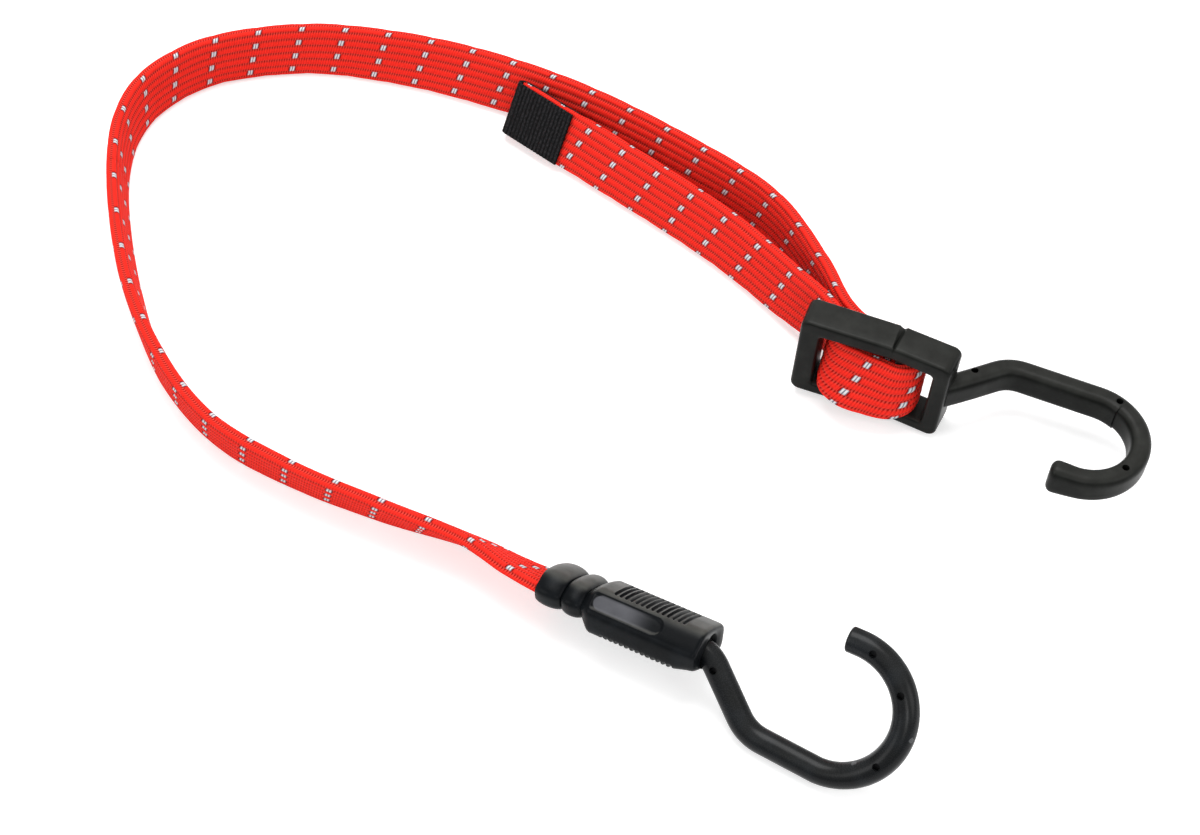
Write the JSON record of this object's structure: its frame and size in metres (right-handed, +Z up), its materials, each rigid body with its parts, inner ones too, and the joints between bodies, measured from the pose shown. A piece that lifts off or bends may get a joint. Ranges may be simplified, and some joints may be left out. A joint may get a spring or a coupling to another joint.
{
  "type": "bungee cord",
  "caption": "Flat elastic tie-down strap in a woven sleeve, with a ribbed hand grip and covered wire hook at one end and a length-adjusting buckle with a hook at the other",
  "frame": {"origin": "on the surface the cord lies on, under the middle of its two hooks, grip and buckle", "axes": "+Z up from that surface; +X to the right and +Y away from the viewer as the picture shows the cord"},
  "size_m": [0.3299, 0.2842, 0.0351],
  "materials": {
    "woven_sleeve": "red polyester weave with lengthwise ribs and silvery tracer threads",
    "rubber_strand": "natural latex",
    "tab_webbing": "black ribbed webbing",
    "grip_plastic": "black satin moulding",
    "hook_plastic": "black satin moulding",
    "buckle_plastic": "black satin moulding",
    "steel": "plain drawn wire and strip"
  },
  "bodies": {
    "strap": {"strap_sleeve": "woven_sleeve", "rubber_strand_1": "rubber_strand", "rubber_strand_2": "rubber_strand", "rubber_strand_3": "rubber_strand", "rubber_strand_4": "rubber_strand", "rubber_strand_5": "rubber_strand", "rubber_strand_6": "rubber_strand", "rubber_strand_7": "rubber_strand", "rubber_strand_8": "rubber_strand", "end_tab": "tab_webbing"},
    "buckle": {"buckle_hook": "buckle_plastic", "buckle_hook_core": "steel"},
    "grip": {"hand_grip": "grip_plastic", "strap_clamp": "steel", "grip_hook_jacket": "hook_plastic", "grip_hook_core": "steel"}
  },
  "joints": [
    {"name": "buckle_pivot", "type": "hinge", "parent": "strap", "child": "buckle", "pos_m": [0.01918, 0.06115, 0.01608], "axis": [0.0571, 0.0531, 0.997], "range_deg": [-3, 35]},
    {"name": "strap_stretch", "type": "slide", "parent": "strap", "child": "grip", "axis": [0.875, -0.4791, 0.0698], "range_m": [0, 0.25], "stiffness_N_per_m": 250, "deforming": ["strap_sleeve", "rubber_strand_1", "rubber_strand_2", "rubber_strand_3", "rubber_strand_4", "rubber_strand_5", "rubber_strand_6", "rubber_strand_7", "rubber_strand_8"]}
  ]
}
